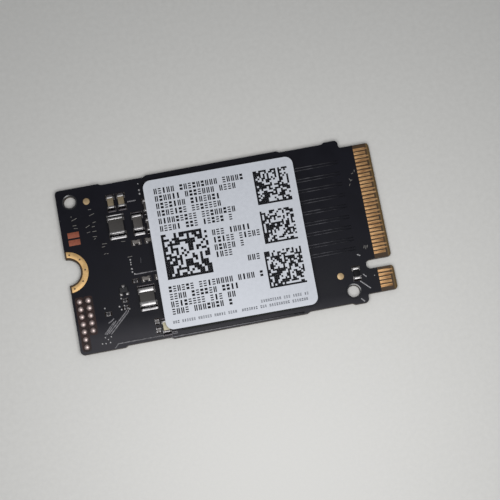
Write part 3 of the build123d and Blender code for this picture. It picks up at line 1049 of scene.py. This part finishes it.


# Vias in the film, and ticks that paint its glints
marks = {
    "tickRise": 0.006,
    "viaRise": 0.012,
    "viaProfile": [(0, 0), (0.5, 0), (0.42, 1), (0.26, 1), (0.18, 0.35), (0, 0.35)],
    "viaSides": 14,
    # middle and width of each via; the last, near the card edge, is a painted glint
    "vias": [
        (-12.67, 0.2, 0.24), (-12.67, -0.15, 0.2), (-12.67, -0.45, 0.2),
        (-12.67, -1.02, 0.26), (-12.67, -1.45, 0.24), (-12.4, -1.75, 0.24),
        (-9.97, 9.18, 0.28), (-9.97, 8.68, 0.28), (-9.97, 10.05, 0.18),
        (-14.7, -4.62, 0.24), (-14.33, -5.1, 0.2), (-15.08, -5.63, 0.26), (-14.43, -5.6, 0.2),
        (-13.85, -6.13, 0.24), (-14.87, -6.07, 0.24), (-17.0, -5.5, 0.24),
        (-17.55, -9.28, 0.2), (-16.78, -9.3, 0.2), (-17.2, -9.6, 0.2),
        (-18.05, -10.02, 0.2), (-17.6, -10.05, 0.2), (-17.0, -10.02, 0.2),
        (-10.33, -9.45, 0.2), (18.3, -7.7, 0.14),
    ],
    # middle, length and turn in degrees of each tick, a light mark that paints a glint
    "ticks": [
        (-19.03, 6.83, 0.78, 18), (-19.35, 7.25, 0.22, 80), (-16.65, 7.07, 0.72, 18), (-16.8, 7.8, 0.4, 0),
        (-19.1, 6.02, 0.5, 0), (-19.0, 5.62, 0.5, -8), (-16.5, 6.0, 0.45, 10), (-17.43, 5.6, 0.6, 25),
        (-17.43, 4.8, 0.45, 10), (-16.65, 4.8, 0.55, 0), (-16.7, 5.45, 0.4, 5), (-16.7, 4.1, 0.55, -5),
        (-16.75, 3.8, 0.3, 30), (-15.63, 2.92, 0.62, -3), (-15.82, 2.55, 0.42, 5), (-15.75, 1.58, 0.32, 20),
        (-15.42, 1.55, 0.22, 0), (-12.64, 0.61, 0.6, 3), (-13.16, 2.78, 0.55, -5), (18.45, 6.5, 0.3, 80),
        (18.1, 6.2, 0.3, 20), (17.8, 5.3, 0.35, 30), (17.65, 5.45, 0.3, -50), (17.5, 4.75, 0.3, 60),
        (17.7, -3.75, 0.42, 72), (17.92, -3.85, 0.5, 72), (18.14, -3.75, 0.36, 72),
    ],
    "tickWidth": 0.07,
}
viaSpots = []
for x, y, across in marks["vias"]:
    viaSpots.append(((x * mm, y * mm, filmTop), (across * mm, across * mm, marks["viaRise"] * mm), 0))
viaMesh = lathe("via", marks["viaProfile"], marks["viaSides"])
stampPiece("filmVias", viaSpots, viaMesh, "bare_via")
tickSpots = []
for x, y, length, turn in marks["ticks"]:
    size = (length * mm, marks["tickWidth"] * mm, marks["tickRise"] * mm)
    tickSpots.append(((x * mm, y * mm, filmTop), size, math.radians(turn)))
stampPiece("filmTicks", tickSpots, plate, "film_painted_glint")
print("marks set:", len(viaSpots), "vias and", len(tickSpots), "ticks")


# Raised rings of film round the tooling holes
holeRing = {"inner": 0.03, "crest": 0.18, "outer": 0.22, "rise": 0.034, "sides": 72}
bores = [mount for mount in frame["record"]["mounts"] if mount["kind"] == "bore"]
hole = bores[0]["dims"]["r_mm"] * mm
ringProfile = [
    (hole + holeRing["inner"] * mm, 0),
    (hole + holeRing["crest"] * mm, holeRing["rise"] * mm),
    (hole + holeRing["outer"] * mm, 0),
]
ringSpots = [((mount["pos_m"][0], mount["pos_m"][1], filmTop), (1, 1, 1), 0) for mount in bores]
ringMesh = lathe("ring", ringProfile, holeRing["sides"], closed=True, smooth=False)
stampPiece("holeRings", ringSpots, ringMesh, "ring_film")
print("hole rings laid:", len(ringSpots))


# Flux left on the film round the test points
flux = {"margin": 0.2, "film": 0.003, "corner": 0.35, "turns": 5}


def fluxSheet(bm, low, high):
    # a rounded patch, as thin as a drop that has dried
    corner = flux["corner"] * mm
    outlines = []
    for level in (filmTop, filmTop + flux["film"] * mm):
        outline = []
        for x, y, start in (
            (high.x - corner, high.y - corner, 0), (low.x + corner, high.y - corner, 90),
            (low.x + corner, low.y + corner, 180), (high.x - corner, low.y + corner, 270),
        ):
            for step in range(flux["turns"] + 1):
                angle = math.radians(start + 90 * step / flux["turns"])
                place = (x + corner * math.cos(angle), y + corner * math.sin(angle), level)
                outline.append(bm.verts.new(place))
        outlines.append(outline)
    lower, upper = outlines
    bm.faces.new(list(reversed(lower)))
    bm.faces.new(upper)
    for i in range(len(lower)):
        j = (i + 1) % len(lower)
        bm.faces.new((lower[i], lower[j], upper[j], upper[i]))


columns = {}  # test points by column, told apart by x
for low, high in domeSolids:
    columns.setdefault(round(low.x, 5), []).append((low, high))
margin = Vector((flux["margin"], flux["margin"], 0)) * mm
bm = bmesh.new()
for column in columns.values():
    lowest = Vector(min(low[i] for low, high in column) for i in range(3)) - margin
    highest = Vector(max(high[i] for low, high in column) for i in range(3)) + margin
    fluxSheet(bm, lowest, highest)
asPiece("fluxFilm", closedMesh("fluxFilm", bm, smooth=False), "flux")
print("flux laid:", len(columns), "columns")


# Plated wells in the screw land
wells = {
    "radius": 2.33, "angles": (-75.5, -38.5, 0, 38.5, 75.5), "across": 0.24, "rise": 0.004,
    "profile": [(0, 0), (0.5, 0), (0.46, 1), (0, 0.8)], "sides": 20,
}
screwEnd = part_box("circuit_board")[0].x
wellSize = (wells["across"] * mm, wells["across"] * mm, wells["rise"] * mm)
wellSpots = []
for angle in wells["angles"]:
    x = screwEnd + wells["radius"] * mm * math.cos(math.radians(angle))
    y = wells["radius"] * mm * math.sin(math.radians(angle))
    wellSpots.append(((x, y, filmTop), wellSize, 0))
wellMesh = lathe("well", wells["profile"], wells["sides"])
stampPiece("landWells", wellSpots, wellMesh, "via_well")
print("land wells set:", len(wellSpots))


# Label: a hair thinner than its solid, so that the print ends level with the solid's top
label = {
    "edge": 0.03,
    "ink": 0.004,
    "turn": -0.45,
    "seed": 7,
    "pitch": 0.57,
    "tall": 0.76,
    "stroke": 0.15,
    "markWide": 0.68,  # by the pitch
    "barWide": 1.5,  # by the stroke
    "marks": ("posts", "posts", "dashes", "dashes", "blocks", "bar"),
    "group": (3, 9),
    # start, end and middle height of each row, from the label's middle
    "rows": [
        (-8.72, 3.38, 8.34), (-8.72, 2.38, 7.34), (-8.72, 0.28, 6.34), (-8.72, -0.02, 5.34),
        (-8.72, 2.28, 4.29), (-8.72, 1.18, 3.29), (-2.12, 2.88, 1.64), (-2.12, 3.98, 0.64),
        (-2.12, 2.08, -0.36), (-2.12, 0.48, -1.31), (1.88, 3.58, -2.46), (-8.92, 3.48, -4.76),
        (-8.92, 0.38, -5.76), (-8.92, -0.12, -6.76), (-8.92, -1.02, -7.71),
    ],
    "finePitch": 0.3,
    "fineTall": 0.36,
    "fineStroke": 0.08,
    "fineRows": [(-9.02, -0.52, -9.06), (-0.02, 8.78, -9.06), (2.58, 8.88, -8.36)],
    "blockCover": 0.99,  # blocks stand just clear of each other
    # middle, side, blocks along a side and share of blocks kept
    "codes": [
        (-5.72, -0.53, 6.0, 18, 0.54), (6.8, 6.42, 4.55, 18, 0.56),
        (6.68, 1.09, 4.35, 18, 0.6), (6.53, -4.51, 4.85, 20, 0.54),
    ],
}
labelLow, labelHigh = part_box("label")
labelMiddle = (labelLow + labelHigh) / 2
sheetMesh = roundedCopy("label", label["edge"])
for corner in sheetMesh.vertices:
    if corner.co.z > labelMiddle.z:
        corner.co.z -= label["ink"] * mm
asPiece("labelSheet", sheetMesh, "label", ["label"])
turnOfLabel = math.radians(label["turn"])


def onLabel(x, y, below):
    # a place on the label, from millimetres along its own sides
    flat = Matrix.Rotation(turnOfLabel, 2) @ Vector((x * mm, y * mm))
    return labelMiddle.x + flat.x, labelMiddle.y + flat.y, labelHigh.z - below * mm


def printRow(start, end, level, pitch, tall, stroke, chance):
    # groups of plain posts, dashes, blocks and bars, with a gap after each group
    spots = []
    x, left = start + pitch / 2, chance.randint(*label["group"])
    while x < end:
        if left == 0:
            left = chance.randint(*label["group"])
        else:
            wide = label["markWide"] * pitch
            kind = chance.choice(label["marks"])
            if kind == "posts":
                strokes = [(side * (wide - stroke) / 2, 0, stroke, tall) for side in (-1, 1)]
            elif kind == "dashes":
                strokes = [(0, step * (tall - stroke) / 2, wide, stroke) for step in (-1, 0, 1)]
            elif kind == "blocks":
                strokes = [(0, step * (tall + stroke) / 4, wide, (tall - stroke) / 2) for step in (-1, 1)]
            else:
                strokes = [(0, 0, label["barWide"] * stroke, tall)]
            for dx, dy, across, high in strokes:
                place = onLabel(x + dx, level + dy, label["ink"])
                spots.append((place, (across * mm, high * mm, label["ink"] * mm), turnOfLabel))
            left -= 1
        x += pitch
    return spots


chance = random.Random(label["seed"])
rowSpots, fineSpots = [], []
for row in label["rows"]:
    rowSpots += printRow(*row, label["pitch"], label["tall"], label["stroke"], chance)
for row in label["fineRows"]:
    fineSpots += printRow(*row, label["finePitch"], label["fineTall"], label["fineStroke"], chance)
stampPiece("labelRows", rowSpots, plate, "ink")
stampPiece("labelFineRows", fineSpots, plate, "faint_ink")
for index, (x, y, side, blocks, share) in enumerate(label["codes"], 1):
    name = "labelCode" + str(index)
    codeMesh = runTree(name, bpy.data.meshes.new(name), codeTree, "ink", {
        "Blocks": blocks,
        "Block": side / blocks * mm,
        "Cover": label["blockCover"],
        "Height": label["ink"] * mm,
        "Fill": share,
        "Seed": label["seed"] + index,
        "Place": onLabel(x, y, label["ink"] / 2),
        "Turn": (0, 0, turnOfLabel),
    })
    asPiece(name, codeMesh, "ink")
print("label printed:", len(rowSpots) + len(fineSpots), "strokes and", len(label["codes"]), "block fields")


# Floor, light and camera
floorLook = {
    "size": 1.6, "dark": (194, 193, 190), "light": (200, 199, 196), "grain": 1.6,
    "rough": (0.5, 0.62), "bump": 0.004,
}
bm = bmesh.new()
bmesh.ops.create_grid(bm, x_segments=1, y_segments=1, size=floorLook["size"] / 2)
floorMesh = bpy.data.meshes.new("tableTop")
bm.to_mesh(floorMesh)
bm.free()
floorMesh.materials.append(makeFinish("table", floorLook))
tableTop = putInScene("tableTop", floorMesh)

lights = {
    "sky": (0.96, 0.98, 1.0), "horizon": 0.05, "zenith": 0.56,
    "place": (0.0023, -0.0303, 0.08), "size": 0.06, "power": 0.0585,  # metres and watts
}
world = bpy.data.worlds.new("studio")
bpy.context.scene.world = world
world.use_nodes = True
skyTree = world.node_tree
sky = setInputs(skyTree.nodes["Background"], Color=(*lights["sky"], 1))
direction = addNode(skyTree, "ShaderNodeTexCoord")
parts = addNode(skyTree, "ShaderNodeSeparateXYZ")
fall = addNode(skyTree, "ShaderNodeMapRange")  # a soft ceiling, dim at the horizon
setInputs(fall, To_Min=lights["horizon"], To_Max=lights["zenith"])
wire(
    skyTree,
    (direction, "Generated", parts, 0),
    (parts, "Z", fall, "Value"),
    (fall, "Result", sky, "Strength"),
)
lampData = bpy.data.lights.new("softBox", "AREA")
lampData.size = lights["size"]
lampData.energy = lights["power"]
lamp = putInScene("softBox", lampData)
lamp.location = lights["place"]  # an area lamp shines straight down as made
lamp.visible_camera = False

# The camera's axes and place were fitted to the photo's board outline
view = {
    "lens": 96.633, "sensor": 36.0, "nearest": 0.01,
    "place": (-2.206, -31.605, 173.721),
    "right": (0.98288, -0.18422, -0.00283),
    "up": (0.18188, 0.96773, 0.1744),
    "back": (-0.02939, -0.17193, 0.98467),
}
cameraData = bpy.data.cameras.new("camera")
cameraData.lens = view["lens"]
cameraData.sensor_width = view["sensor"]
cameraData.clip_start = view["nearest"]
camera = putInScene("camera", cameraData)
turned = Matrix((view["right"], view["up"], view["back"])).transposed().to_4x4()
camera.matrix_world = Matrix.Translation(Vector(view["place"]) * mm) @ turned
bpy.context.scene.camera = camera
bpy.context.scene.view_settings.view_transform = "Standard"
print("floor, light and camera set")
